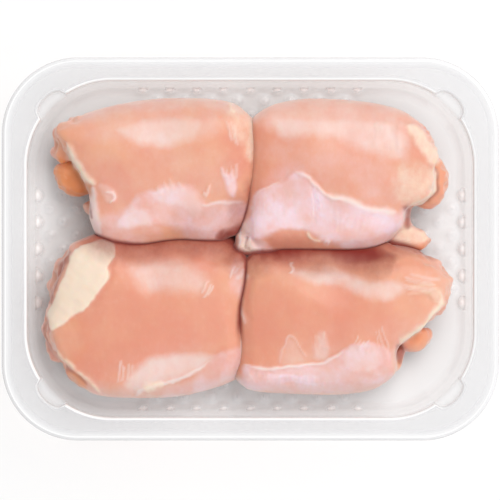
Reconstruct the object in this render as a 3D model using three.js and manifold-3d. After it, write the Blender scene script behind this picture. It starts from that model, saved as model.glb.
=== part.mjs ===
// An open tray of clear formed plastic that holds four folded boneless chicken thighs.
// Millimetres, +Z up. The origin is the middle of the tray's footprint, on the surface it stands on.

import * as THREE from 'three';
import Module from 'manifold-3d';
import { mergeVertices } from 'three/addons/utils/BufferGeometryUtils.js';

const wasm = await Module();
wasm.setup();

// Driving dimensions of the tray
const TRAY_LENGTH = 227;
const TRAY_WIDTH = 175;
const TRAY_HEIGHT = 45;
const TRAY_CORNER = 35;
const MOUTH_LENGTH = 204;
const MOUTH_WIDTH = 154;
const MOUTH_CORNER = 39;
const SHEET = 0.7;
const WALL_DRAFT = THREE.MathUtils.degToRad(3.5);
const FOOT_RADIUS = 4;
const EDGE_RADIUS = 0.9;
const LIP_WIDTH = 1.8;
const LIP_DROP = 2.2;

// Denest lugs, one bulge in each corner of the mouth with a shelf under it
const LUG_REACH = 4.5;
const LUG_DEPTH = 6;
const LUG_HALF_ANGLE = 12;

// Bumps that keep the meat off the floor, on a staggered lattice centred on the tray. Row 0 stands
// at the foot of the walls and row 1 half a pitch further in. The corners of the floor are smooth.
const BUMP_PITCH = 12.5;
const BUMP_RADIUS = 4.6;
const BUMP_HEIGHT = 1.6;
const FOOT_BUMP_RADIUS = 4.2;
const FOOT_BUMP_RISE = 3.6;
const PITCHES_TO_END = 8;
const PITCHES_TO_SIDE = 6;
const END_ROW_COUNT = 5;
const SIDE_ROW_COUNT = 9;

// Meat
const MEAT_FLOOR = SHEET + BUMP_HEIGHT + 0.4;
const FOLD_ROUND = 14;
const ROLL_ROUND = 9;
const TUCK_ROUND = 24;
const BUTT_ROUND = 6;
const CLEFT_ROUND = 10;
const CUT_ROUND = 5;
const CUT_LIFT = 13;
const OVERHANG = 6;
const GAP = 0.35;
const THIGH_STEPS = 48;
const FLAP_STEPS = 14;

const CLEAR_PLASTIC = new THREE.MeshStandardMaterial({
  name: 'clear_plastic', color: 0xe9eaec, roughness: 0.3, metalness: 0, transparent: true, opacity: 0.5,
});
const RAW_MEAT = new THREE.MeshStandardMaterial({
  name: 'raw_meat', color: 0xeaa389, roughness: 0.35, metalness: 0,
});

// Turns rings of points into one closed body: each ring joins the next, and the first and last
// rings close on a middle point. Rings run anticlockwise seen from above, the first one uppermost.
function bodyFromRings(rings, firstMiddle, lastMiddle) {
  const around = rings[0].length;
  const points = [firstMiddle, ...rings.flat(), lastMiddle];
  const last = points.length - 1;
  const faces = [];
  for (let k = 0; k < around; k += 1) {
    const next = (k + 1) % around;
    faces.push(0, 1 + k, 1 + next);
    for (let r = 0; r < rings.length - 1; r += 1) {
      const a = 1 + r * around + k;
      const b = 1 + r * around + next;
      faces.push(a, a + around, b);
      faces.push(b, a + around, b + around);
    }
    const foot = 1 + (rings.length - 1) * around;
    faces.push(foot + k, last, foot + next);
  }
  const geometry = new THREE.BufferGeometry();
  geometry.setAttribute('position', new THREE.Float32BufferAttribute(points.flatMap((p) => p.toArray()), 3));
  geometry.setIndex(faces);
  return solidFromGeometry(geometry);
}

function solidFromGeometry(geometry) {
  const bare = geometry.clone();
  bare.deleteAttribute('normal');
  bare.deleteAttribute('uv');
  const merged = mergeVertices(bare);
  return new wasm.Manifold(new wasm.Mesh({
    numProp: 3,
    vertProperties: Float32Array.from(merged.attributes.position.array),
    triVerts: Uint32Array.from(merged.index.array),
  }));
}

function meshFromSolid(name, solid, material) {
  const { vertProperties, triVerts } = solid.getMesh();
  const geometry = new THREE.BufferGeometry();
  geometry.setAttribute('position', new THREE.Float32BufferAttribute(vertProperties, 3));
  geometry.setIndex(Array.from(triVerts));
  geometry.computeVertexNormals();
  const mesh = new THREE.Mesh(geometry, material);
  mesh.name = name;
  return mesh;
}

// Tray

// Angles at which each corner is walked, closer together where the lug stands out
const CORNER_ANGLES = [0, 12, 23, 33, 37, 45, 53, 57, 67, 78, 90];

// How far a lug stands out at an angle in its corner, from 0 to 1
function lugShare(angle) {
  const off = Math.abs(angle - 45) / LUG_HALF_ANGLE;
  return off >= 1 ? 0 : Math.sqrt(1 - off ** 2.4);
}

// One ring round the tray: a rounded rectangle, out beyond its half length and half width
function trayRing({ from, out, z, lug = 0 }) {
  const mouth = from === 'mouth';
  const halfLength = (mouth ? MOUTH_LENGTH : TRAY_LENGTH) / 2;
  const halfWidth = (mouth ? MOUTH_WIDTH : TRAY_WIDTH) / 2;
  const corner = mouth ? MOUTH_CORNER : TRAY_CORNER;
  const quarters = [[1, 1, 0], [-1, 1, 90], [-1, -1, 180], [1, -1, 270]];
  return quarters.flatMap(([sx, sy, start]) => CORNER_ANGLES.map((angle) => {
    const reach = corner + out + lug * LUG_REACH * lugShare(angle);
    const turn = THREE.MathUtils.degToRad(start + angle);
    return new THREE.Vector3(
      sx * (halfLength - corner) + reach * Math.cos(turn),
      sy * (halfWidth - corner) + reach * Math.sin(turn),
      z,
    );
  }));
}

// Plan run of the wall at a height, negative towards the middle
function wallRun(z) {
  return -(TRAY_HEIGHT - z) * Math.tan(WALL_DRAFT);
}

// Stations of the tray's upper face from the rim to the floor, each with the direction in which
// the sheet's under face lies: [out, up] in sheet thicknesses
function trayStations() {
  const top = TRAY_HEIGHT;
  const shelf = top - LUG_DEPTH;
  const footTop = SHEET + FOOT_RADIUS;
  const footEdge = wallRun(footTop) - FOOT_RADIUS;
  const bend = Math.SQRT1_2;
  return [
    { from: 'rim', out: 0, z: top - LIP_DROP, under: [0, -0.7] },
    { from: 'rim', out: -LIP_WIDTH * 0.7, z: top - 0.3, under: [-0.7, -1] },
    { from: 'rim', out: -LIP_WIDTH, z: top, under: [0, -1] },
    { from: 'mouth', out: EDGE_RADIUS, z: top, lug: 1, under: [0.6, -1] },
    { from: 'mouth', out: EDGE_RADIUS * 0.25, z: top - EDGE_RADIUS * 0.3, lug: 1, under: [1, -1] },
    { from: 'mouth', out: wallRun(top - 1), z: top - EDGE_RADIUS, lug: 1, under: [1, -1] },
    { from: 'mouth', out: wallRun(shelf), z: shelf, lug: 0.9, under: [1, -1] },
    { from: 'mouth', out: wallRun(shelf - 1), z: shelf - 1, lug: 0, under: [1, -1] },
    { from: 'mouth', out: wallRun(footTop), z: footTop, under: [1, 0] },
    { from: 'mouth', out: footEdge + FOOT_RADIUS * bend, z: footTop - FOOT_RADIUS * bend, under: [bend, -bend] },
    { from: 'mouth', out: footEdge, z: SHEET, under: [0, -1] },
  ];
}

// The upper face lies inside the under face, so the closed body runs from the middle of the floor
// up to the rim and back down outside to the middle of the underside.
function trayShell() {
  const stations = trayStations();
  const upper = stations.map(trayRing).reverse();
  const under = stations.map((s) => trayRing({
    ...s, out: s.out + s.under[0] * SHEET, z: s.z + s.under[1] * SHEET,
  }));
  const floorMiddle = new THREE.Vector3(0, 0, SHEET);
  const underMiddle = new THREE.Vector3(0, 0, 0);
  return bodyFromRings([...upper, ...under], floorMiddle, underMiddle);
}

// All that lies inside the tray's outer face, up to a little above the foot
function trayInside() {
  const footStations = trayStations().slice(-3);
  const under = footStations.map((s) => trayRing({
    ...s, out: s.out + s.under[0] * SHEET * 0.7, z: s.z + s.under[1] * SHEET * 0.7,
  }));
  const lid = new THREE.Vector3(0, 0, footStations[0].z);
  const base = new THREE.Vector3(0, 0, under.at(-1)[0].z);
  return bodyFromRings(under, lid, base);
}

// A low round bump, or with grow below 0 the hollow under it
function bump(x, y, radius, base, height, grow = 0) {
  const sides = 8;
  const ring = (share, z) => Array.from({ length: sides }, (_, k) => {
    const turn = (k + 0.5) * 2 * Math.PI / sides;
    const r = radius * share + grow;
    return new THREE.Vector3(x + r * Math.cos(turn), y + r * Math.sin(turn), z);
  });
  const lift = base + height;
  return bodyFromRings(
    [ring(0.7, lift - height * 0.3), ring(1, base), ring(1, base - 0.4)],
    new THREE.Vector3(x, y, lift),
    new THREE.Vector3(x, y, base - 0.4),
  );
}

// Places along a straight row centred on the tray
function rowPlaces(count) {
  return Array.from({ length: count }, (_, k) => (k - (count - 1) / 2) * BUMP_PITCH);
}

// Places of the bumps in row 0, at the walls' foot, or in row 1
function bumpPlaces(row) {
  const x = (PITCHES_TO_END - row / 2) * BUMP_PITCH;
  const y = (PITCHES_TO_SIDE - row / 2) * BUMP_PITCH;
  const places = [];
  for (const along of rowPlaces(SIDE_ROW_COUNT - row)) {
    places.push([along, y], [along, -y]);
  }
  for (const along of rowPlaces(END_ROW_COUNT - row)) {
    places.push([x, along], [-x, along]);
  }
  return places;
}

function makeTray() {
  const rises = [];
  const hollows = [];
  for (const [x, y] of bumpPlaces(0)) {
    rises.push(bump(x, y, FOOT_BUMP_RADIUS, SHEET, FOOT_BUMP_RISE));
  }
  for (const [x, y] of bumpPlaces(1)) {
    rises.push(bump(x, y, BUMP_RADIUS, SHEET, BUMP_HEIGHT));
    hollows.push(bump(x, y, BUMP_RADIUS, 0, BUMP_HEIGHT, -SHEET / 2));
  }
  const relief = wasm.Manifold.union(rises).intersect(trayInside());
  return trayShell().add(relief).subtract(wasm.Manifold.union(hollows));
}

// Meat

// A closed smooth curve through hand-placed points, with any further values carried along. It is
// walked anticlockwise, whichever way round its points are listed.
function closedOutline(listed, count) {
  const turnsLeft = THREE.ShapeUtils.area(listed.map(([x, y]) => ({ x, y }))) > 0;
  const points = turnsLeft ? listed : [...listed].reverse();
  const curve = (pick) => new THREE.CatmullRomCurve3(points.map(pick), true, 'catmullrom', 0.5);
  const place = curve(([x, y]) => new THREE.Vector3(x, y, 0));
  const extra = curve(([, , round = FOLD_ROUND, lift = 0]) => new THREE.Vector3(round, lift, 0));
  return Array.from({ length: count }, (_, k) => {
    const p = place.getPoint(k / count);
    const e = extra.getPoint(k / count);
    return { x: p.x, y: p.y, round: e.x, lift: Math.max(e.y, 0) };
  });
}

// A point a distance in from the outline, on the way to the middle
function inwards(point, middle, distance) {
  const away = Math.hypot(point.x - middle[0], point.y - middle[1]);
  const keep = Math.max(away - distance, away * 0.12) / away;
  return [middle[0] + (point.x - middle[0]) * keep, middle[1] + (point.y - middle[1]) * keep];
}

// A folded thigh. Its outline points are [x, y, round, lift]: round is the rounding of the upper
// edge there and lift is how far the cut end of its upper layer hangs above the underside. The
// back row's front edges roll over the front row's back edges, which slope down under them.
// swells are broad rises or dips of the upper face: [x, y, reach, rise].
function foldedThigh({ outline, middle, top, crown, swells }, grow) {
  const floor = MEAT_FLOOR - grow;
  const rim = closedOutline(outline, THIGH_STEPS);
  const surface = (x, y) => swells.reduce(
    (z, [sx, sy, reach, rise]) => z + rise * Math.exp(-(((x - sx) ** 2 + (y - sy) ** 2) / reach ** 2)),
    top + grow,
  );
  const ring = (settings) => rim.map((p) => {
    const { inset, z } = settings(p);
    const [x, y] = inwards(p, middle, inset - grow);
    return new THREE.Vector3(x, y, z(x, y));
  });
  const edgeTop = (p) => surface(...inwards(p, middle, p.round)) - crown;
  const belt = (p) => edgeTop(p) - p.round;
  const upper = (degrees) => ring((p) => {
    const turn = THREE.MathUtils.degToRad(degrees);
    return { inset: p.round * (1 - Math.cos(turn)), z: () => belt(p) + p.round * Math.sin(turn) };
  });
  const crowned = (share) => ring((p) => {
    const away = Math.hypot(p.x - middle[0], p.y - middle[1]) - p.round;
    const inset = p.round + away * (1 - share);
    return { inset, z: (x, y) => surface(x, y) - crown * share ** 2 };
  });
  const underRound = (p) => (p.lift > 0.5 ? Math.min(3, p.round) : (belt(p) - 1 - floor) * 0.8);
  const lower = (degrees) => ring((p) => {
    const turn = THREE.MathUtils.degToRad(degrees);
    const r = underRound(p);
    const under = floor + p.lift;
    return { inset: r * (1 - Math.cos(turn)), z: () => under + r * (1 - Math.sin(turn)) };
  });
  const tucked = (extra, liftShare) => ring((p) => ({
    inset: underRound(p) + extra * (0.3 + 0.7 * Math.min(p.lift / CUT_LIFT, 1)),
    z: () => floor + p.lift * liftShare,
  }));
  return bodyFromRings(
    [
      crowned(0.5), crowned(0.85), upper(78), upper(52), upper(26), upper(0),
      lower(0), lower(35), lower(65), tucked(OVERHANG, 0.85), tucked(OVERHANG + 3, 0),
    ],
    new THREE.Vector3(...middle, surface(...middle)),
    new THREE.Vector3(...middle, floor),
  );
}

// A loose edge, knob or inner roll that shows at the end of a folded thigh
function meatFlap({ outline, low, high }, grow) {
  const rim = closedOutline(outline, FLAP_STEPS);
  const middle = [0, 1].map((i) => outline.reduce((sum, p) => sum + p[i], 0) / outline.length);
  const half = (high - low) / 2 + grow;
  const ring = (degrees) => rim.map((p) => {
    const turn = THREE.MathUtils.degToRad(degrees);
    const inset = half * 0.6 * (1 - Math.cos(turn)) - grow;
    const [x, y] = inwards(p, middle, inset);
    return new THREE.Vector3(x, y, (low + high) / 2 + half * 0.95 * Math.sin(turn));
  });
  return bodyFromRings(
    [ring(65), ring(22), ring(-22), ring(-65)],
    new THREE.Vector3(...middle, (low + high) / 2 + half),
    new THREE.Vector3(...middle, (low + high) / 2 - half),
  );
}

const THIGHS = {
  thigh_back_left: {
    middle: [-40, 36],
    top: 34.5,
    crown: 2.5,
    swells: [[-24, 20, 16, -1.6], [-62, 46, 18, 1.2], [-18, 52, 20, 0.8]],
    outline: [
      [-89.9, 54.6, CUT_ROUND, CUT_LIFT],
      [-80, 60.8, 9],
      [-61, 67],
      [-33, 69.9],
      [-10, 68],
      [-0.8, 61, BUTT_ROUND],
      [1.8, 44, BUTT_ROUND],
      [-0.4, 24, CLEFT_ROUND],
      [-3.4, 12, 13],
      [-11.5, 5.4, CLEFT_ROUND],
      [-20, 4.4, ROLL_ROUND],
      [-35, 5.5, ROLL_ROUND],
      [-52, 2.8, ROLL_ROUND],
      [-65.5, 3.4, ROLL_ROUND],
      [-73.6, 13, 7, 5],
      [-73.4, 24.5, CUT_ROUND, CUT_LIFT],
      [-79.2, 37, CUT_ROUND, CUT_LIFT],
      [-85.4, 47, CUT_ROUND, CUT_LIFT],
    ],
    flaps: [
      {
        low: 4,
        high: 21,
        outline: [
          [-87, 40.6], [-90.6, 37], [-89.9, 33], [-89.2, 28.9], [-85.6, 26.6], [-81.7, 24.2], [-76.5, 24.8],
          [-70, 28], [-72, 41],
        ],
      },
      {
        low: 10,
        high: 24,
        outline: [[-91.6, 53], [-90.8, 48.5], [-92, 44.2], [-87.6, 41], [-80, 42], [-76, 48], [-84, 55.4]],
      },
      { low: 4, high: 15, outline: [[-77.4, 22], [-77.6, 17.5], [-74, 15], [-66, 17], [-68, 24]] },
    ],
  },
  thigh_back_right: {
    middle: [43, 35],
    top: 35.5,
    crown: 2.8,
    swells: [[30, 50, 18, 0.9], [24, 14, 15, -2.2], [62, 12, 12, -1.8], [66, 44, 14, 0.8]],
    outline: [
      [2.2, 60.6, BUTT_ROUND],
      [14, 67.6, 12],
      [32, 69.6],
      [54, 68],
      [70, 64, 11],
      [79.5, 56.4, 7, 5],
      [83.4, 49, CUT_ROUND, CUT_LIFT],
      [86.8, 41.4, CUT_ROUND, CUT_LIFT],
      [83.8, 35, CUT_ROUND, CUT_LIFT],
      [83.2, 25, CUT_ROUND, CUT_LIFT],
      [75, 21, CUT_ROUND, CUT_LIFT],
      [70.6, 17.6, CUT_ROUND, CUT_LIFT],
      [69.6, 10, 8, 4],
      [58, 2.6, ROLL_ROUND],
      [44, 0.6, ROLL_ROUND],
      [22, 0.8, ROLL_ROUND],
      [5, 1.2, ROLL_ROUND],
      [-3, 6, CLEFT_ROUND],
      [-1.2, 16, CLEFT_ROUND],
      [1.6, 32, BUTT_ROUND],
      [1.8, 46, BUTT_ROUND],
    ],
    flaps: [
      {
        low: 8,
        high: 24,
        outline: [[87, 41.4], [89.6, 38.5], [92.1, 30.5], [91.4, 26.4], [88.2, 22.2], [76, 19.4], [74, 40]],
      },
      { low: 5, high: 19, outline: [[69, 21], [75.4, 20.4], [73.8, 16], [75, 9.6], [68, 8], [66, 15]] },
      { low: 6, high: 16, outline: [[74, 10.8], [80, 9], [84, 3], [78.5, 0.2], [58, 0.4], [60, 9]] },
      { low: 16, high: 27, outline: [[-7.5, 0.4], [-4, -2.2], [4, -3], [12, -1], [8, 7], [-4, 7]] },
    ],
  },
  thigh_front_left: {
    middle: [-44, -33],
    top: 33.5,
    crown: 2.6,
    swells: [[-76, -12, 14, 1.4], [-22, -54, 18, -2.4], [-48, -14, 22, 0.8]],
    outline: [
      [-78, 4.6, 9],
      [-86.4, -4.6, 8],
      [-91, -18, 7, 5],
      [-91.2, -24.5, 7, 5],
      [-94, -34, 7, 5],
      [-91, -45.4, CUT_ROUND, 9],
      [-82, -58.4, CUT_ROUND, 9],
      [-73.2, -66.6, 9, 3],
      [-60, -68.8, 11],
      [-38, -68.6],
      [-22, -66],
      [-6.4, -59.4, 10],
      [-3, -49, BUTT_ROUND],
      [-5.2, -30, BUTT_ROUND],
      [-2.4, -14, CLEFT_ROUND],
      [-1.2, -3.4, CLEFT_ROUND],
      [-3.6, 4.6, TUCK_ROUND],
      [-12, 8.4, TUCK_ROUND],
      [-30, 9.2, TUCK_ROUND],
      [-52, 8, TUCK_ROUND],
      [-66, 6.6],
    ],
    flaps: [
      { low: 8, high: 24, outline: [[-87, -4], [-91.6, -11], [-93, -19], [-89, -24], [-82, -18], [-80, -6]] },
      { low: 5, high: 20, outline: [[-93, -26], [-96.4, -36], [-94.6, -47], [-89, -52.3], [-82, -44], [-84, -28]] },
      { low: 6, high: 18, outline: [[-87.5, -51], [-85, -59], [-79, -64.6], [-72.5, -64], [-72, -55], [-80, -49]] },
    ],
  },
  thigh_front_right: {
    middle: [42, -33],
    top: 33.5,
    crown: 2.6,
    swells: [[20, -24, 18, 0.8], [30, -57, 14, -2.2], [62, -18, 18, 1], [60, -56, 14, -1.4]],
    outline: [
      [-1.6, -2.4, CLEFT_ROUND],
      [12, 4, TUCK_ROUND],
      [34, 5.6, TUCK_ROUND],
      [58, 5, TUCK_ROUND],
      [74, -0.6],
      [86, -6.8, 9],
      [92.6, -17, 7, 4],
      [89.4, -26.8, CUT_ROUND, CUT_LIFT],
      [80.6, -35.2, CUT_ROUND, CUT_LIFT],
      [69.4, -43, CUT_ROUND, CUT_LIFT],
      [66.4, -50, CUT_ROUND, 9],
      [67, -56.6, 7, 4],
      [58, -64.2, 11],
      [43, -66.8],
      [16, -66.8],
      [2, -65.4, 11],
      [-7, -60.4, 8],
      [-4.4, -50, BUTT_ROUND],
      [-4.6, -30, BUTT_ROUND],
      [-0.8, -14, BUTT_ROUND],
    ],
    flaps: [
      { low: 7, high: 18, outline: [[72, -40], [82, -35.4], [83.8, -41], [78, -47.8], [72, -46.6], [68, -42]] },
      { low: 5, high: 15, outline: [[66.4, -46], [71.2, -45], [71, -51], [68.6, -57], [63, -53]] },
    ],
  },
};

// One thigh with its flaps. grow swells it all over, to cut the room that a neighbour leaves it.
function wholeThigh(thigh, grow = 0) {
  return thigh.flaps.reduce((solid, flap) => solid.add(meatFlap(flap, grow)), foldedThigh(thigh, grow));
}

// Each thigh gives way to the ones laid before it
function makeThighs() {
  const laid = [];
  return Object.entries(THIGHS).map(([name, thigh]) => {
    const solid = laid.reduce((left, other) => left.subtract(wholeThigh(other, GAP)), wholeThigh(thigh));
    laid.push(thigh);
    return [name, solid];
  });
}

const pack = new THREE.Group();
pack.add(meshFromSolid('tray', makeTray(), CLEAR_PLASTIC));
for (const [name, solid] of makeThighs()) {
  pack.add(meshFromSolid(name, solid, RAW_MEAT));
}

export default pack;
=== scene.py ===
"""An open tray of clear formed plastic that holds four folded raw chicken thighs.

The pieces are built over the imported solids, in metres, with +Z up and the tray standing on z = 0.
Places on the meat are in millimetres seen from straight above, with the middle of the tray at 0, 0.
"""

import math
from collections import namedtuple

import bmesh
import bpy
import numpy as np
from mathutils import Matrix, Vector
from mathutils.bvhtree import BVHTree


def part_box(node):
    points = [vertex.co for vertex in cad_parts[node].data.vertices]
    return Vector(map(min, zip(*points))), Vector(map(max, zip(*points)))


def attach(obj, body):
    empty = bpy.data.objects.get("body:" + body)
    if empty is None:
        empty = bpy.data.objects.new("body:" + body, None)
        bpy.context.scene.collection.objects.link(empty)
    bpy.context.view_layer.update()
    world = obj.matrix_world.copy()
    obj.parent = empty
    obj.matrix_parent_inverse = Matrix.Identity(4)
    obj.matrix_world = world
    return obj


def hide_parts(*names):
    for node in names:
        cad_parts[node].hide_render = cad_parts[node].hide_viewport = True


bl_info = {
    "name": "Meat tray pack",
    "version": (1, 0, 0),
    "blender": (4, 5, 0),
    "location": "3D View > Sidebar > Meat Tray",
    "description": "Builds a clear food tray with four folded raw chicken thighs",
    "category": "Add Mesh",
}

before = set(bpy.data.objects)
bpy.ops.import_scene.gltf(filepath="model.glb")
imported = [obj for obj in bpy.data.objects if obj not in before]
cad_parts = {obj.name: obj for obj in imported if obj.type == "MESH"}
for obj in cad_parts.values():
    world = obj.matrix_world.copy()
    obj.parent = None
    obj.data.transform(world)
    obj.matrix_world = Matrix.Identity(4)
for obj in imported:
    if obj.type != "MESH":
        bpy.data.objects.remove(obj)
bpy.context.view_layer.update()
TRAY_LOW, TRAY_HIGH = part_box("tray")
MM = 0.001


# Settings

def length_property(name, description, default):
    """A length that a user may change."""
    return bpy.props.FloatProperty(name=name, description=description, default=default, unit="LENGTH")


def colour_property(name, description, *screen):
    """A colour that a user may change. Its default is given as it looks on a screen, 0 to 255."""
    return bpy.props.FloatVectorProperty(
        name=name, description=description, default=[(v / 255) ** 2.2 for v in screen],
        size=3, subtype="COLOR", min=0, max=1)


class TraySettings(bpy.types.PropertyGroup):
    """Sizes and finish of the formed tray"""

    length: length_property("Length", "Outer length of the flange", TRAY_HIGH.x - TRAY_LOW.x)
    width: length_property("Width", "Outer width of the flange", TRAY_HIGH.y - TRAY_LOW.y)
    height: length_property("Height", "Height of the rim above the table", TRAY_HIGH.z)
    corner: length_property("Corner", "Radius of the flange's outer corners", 35 * MM)
    mouth_length: length_property("Mouth length", "Length of the open mouth", 204 * MM)
    mouth_width: length_property("Mouth width", "Width of the open mouth", 154 * MM)
    mouth_corner: length_property("Mouth corner", "Radius of the mouth's corners", 39 * MM)
    sheet: length_property("Sheet", "Thickness of the plastic sheet", 0.7 * MM)
    draft: bpy.props.FloatProperty(
        name="Draft", description="Lean of the walls", default=math.radians(3.5), unit="ROTATION")
    foot: length_property("Foot radius", "Rounding where walls meet the floor", 4 * MM)
    bump_pitch: length_property("Bump pitch", "Distance between bumps in a row", 12.5 * MM)
    bump_radius: length_property("Bump radius", "Radius of a floor bump", 4.9 * MM)
    bump_height: length_property("Bump height", "Height of a floor bump", 1.6 * MM)
    plastic: colour_property("Plastic", "Colour of the hazy plastic", 210, 210, 213)
    haze: bpy.props.FloatProperty(
        name="Haze", description="How much the sheet hides face on", default=0.12, subtype="FACTOR",
        min=0, max=1)


class MeatSettings(bpy.types.PropertyGroup):
    """Grain and colours of the thighs"""

    grain: length_property("Grain", "Finest step of the meat's surface", 0.7 * MM)
    rounding: bpy.props.IntProperty(
        name="Rounding", description="Passes that soften the folded form", default=60, min=0)
    peach: colour_property("Peach", "Main colour of the meat", 230, 170, 138)
    rose: colour_property("Rose", "Pinker clouds in the meat", 223, 146, 121)
    amber: colour_property("Amber", "Thin meat over yellow fat", 230, 146, 90)
    # A pale colour for pale skin and strands, and also for painted highlights and a painted sheen on the
    # outward sides
    pale_and_highlight: colour_property("Milk", "Pale moist bloom", 234, 214, 209)
    film: colour_property("Film", "Silver skin over the meat", 237, 215, 226)
    fat: colour_property("Fat", "Cream fat", 238, 218, 198)
    # A dark red for dark meat in cuts, and also for painted shade in clefts, along seams and under the back
    # row
    shade_and_dark_meat: colour_property("Deep", "Dark meat in cuts and clefts", 134, 42, 32)


class StageSettings(bpy.types.PropertyGroup):
    """Light and camera"""

    floor: bpy.props.FloatVectorProperty(
        name="Floor", description="Colour of the table top", size=3, subtype="COLOR",
        default=(0.93, 0.93, 0.93), min=0, max=1)
    surround: bpy.props.FloatProperty(
        name="Surround", description="Strength of the light from all round", default=0.47)
    key: bpy.props.FloatProperty(
        name="Key", description="Power of the large soft light behind the tray", default=28.0, unit="POWER")
    fill: bpy.props.FloatProperty(
        name="Fill", description="Power of the light in front of the tray", default=13.0, unit="POWER")
    camera_height: length_property("Camera height", "Camera above the flange", 2.0)
    lens: bpy.props.FloatProperty(
        name="Lens", description="Focal length in millimetres", default=315.6)


# Materials

def feed(tree, node, inputs):
    """Links a node's inputs to other sockets or sets them to plain values."""
    for name, value in inputs.items():
        if isinstance(value, bpy.types.NodeSocket):
            tree.links.new(value, node.inputs[name])
        else:
            node.inputs[name].default_value = value


def put(tree, kind, inputs=None, **settings):
    """Adds a shader node with its settings and feeds its inputs."""
    node = tree.nodes.new(kind)
    for name, value in settings.items():
        setattr(node, name, value)
    feed(tree, node, inputs or {})
    return node


def math_node(tree, operation, first, second=0.0, clamp=False):
    """A Math node's result."""
    node = put(tree, "ShaderNodeMath", {0: first, 1: second}, operation=operation, use_clamp=clamp)
    return node.outputs[0]


def mix_colours(tree, share, under, over):
    """One colour laid over another by a share from 0 to 1, by the Mix node's colour sockets."""
    return put(tree, "ShaderNodeMix", {0: share, 6: under, 7: over}, data_type="RGBA").outputs[2]


def opaque(colour):
    """A colour with full alpha, as a colour socket takes it."""
    return (*colour, 1.0)


def new_group(name, inputs, output):
    """An empty node group with inputs, as their names and kinds, and one output of the same form."""
    group = bpy.data.node_groups.new(name, "ShaderNodeTree")
    for label, kind in inputs.items():
        group.interface.new_socket(label, in_out="INPUT", socket_type="NodeSocket" + kind)
    for label, kind in output.items():
        group.interface.new_socket(label, in_out="OUTPUT", socket_type="NodeSocket" + kind)
    entry = group.nodes.new("NodeGroupInput")
    leave = group.nodes.new("NodeGroupOutput")
    return group, entry.outputs, leave


def clouds(group, entry, detail, roughness=0.5, finer=1.0):
    """Noise in a group, with clouds as broad as its Size, or finer by a factor."""
    scale = math_node(group, "DIVIDE", finer, entry["Size"])
    return put(group, "ShaderNodeTexNoise", {
        "Vector": entry["Vector"], "Scale": scale, "Detail": detail, "Roughness": roughness}).outputs["Fac"]


def mottle_group():
    """Two colours that drift into each other in soft clouds, with finer clouds inside them."""
    group, entry, leave = new_group(
        "Soft mottle", {"Vector": "Vector", "Size": "Float", "Under": "Color", "Over": "Color"},
        {"Color": "Color"})
    cloud = put(group, "ShaderNodeMapRange", {
        "Value": clouds(group, entry, 3.0, 0.55), "From Min": 0.36, "From Max": 0.66}).outputs[0]
    feed(group, leave, {"Color": mix_colours(group, cloud, entry["Under"], entry["Over"])})
    return group


def mask_group():
    """A painted mask whose edge is frayed by clouds, most where the mask is half strong."""
    group, entry, leave = new_group(
        "Broken mask", {"Mask": "Float", "Vector": "Vector", "Size": "Float", "Break up": "Float"},
        {"Mask": "Float"})
    noise = clouds(group, entry, 5.0, 0.65)
    swing = math_node(group, "MULTIPLY", math_node(group, "SUBTRACT", noise, 0.5), 4.0)
    rest = math_node(group, "SUBTRACT", 1.0, entry["Mask"])
    middle = math_node(group, "MULTIPLY", math_node(group, "MULTIPLY", entry["Mask"], rest), 4.0)
    frayed = math_node(group, "MULTIPLY", math_node(group, "MULTIPLY", swing, entry["Break up"]), middle)
    feed(group, leave, {"Mask": math_node(group, "ADD", entry["Mask"], frayed, clamp=True)})
    return group


def grain_group():
    """Fine relief of a moist or formed surface: waves, and grains a fifth of their size."""
    group, entry, leave = new_group(
        "Fine grain", {"Vector": "Vector", "Size": "Float", "Grain": "Float"}, {"Height": "Float"})
    grains = math_node(group, "MULTIPLY", clouds(group, entry, 2.0, finer=5.0), entry["Grain"])
    feed(group, leave, {"Height": math_node(group, "ADD", clouds(group, entry, 1.0), grains)})
    return group


GROUP_MAKERS = {"Soft mottle": mottle_group, "Broken mask": mask_group, "Fine grain": grain_group}


def place_group(tree, name, inputs):
    """Places a shared node group, built the first time it is asked for, and returns its outputs."""
    group = bpy.data.node_groups.get(name) or GROUP_MAKERS[name]()
    return put(tree, "ShaderNodeGroup", inputs, node_tree=group).outputs


def blank_material(name):
    """A material with a Principled shader alone, its tree and that shader."""
    material = bpy.data.materials.new(name)
    material.use_nodes = True
    tree = material.node_tree
    tree.nodes.clear()
    shader = tree.nodes.new("ShaderNodeBsdfPrincipled")
    output = tree.nodes.new("ShaderNodeOutputMaterial")
    tree.links.new(shader.outputs[0], output.inputs["Surface"])
    return material, tree, shader


# What the sheet hides besides its haze: edge on, where it gleams, and on the flange, which isn't
# drawn thin as the walls are and lies above these heights
EDGE_ON_HAZE = 0.12
GLEAM_HAZE = 0.7
FLANGE_HAZE = 0.2
FLANGE_FROM = (0.040, 0.044)

# The share of shadow and bounced light that the sheet passes on
PASSED_ON = 0.92


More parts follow.
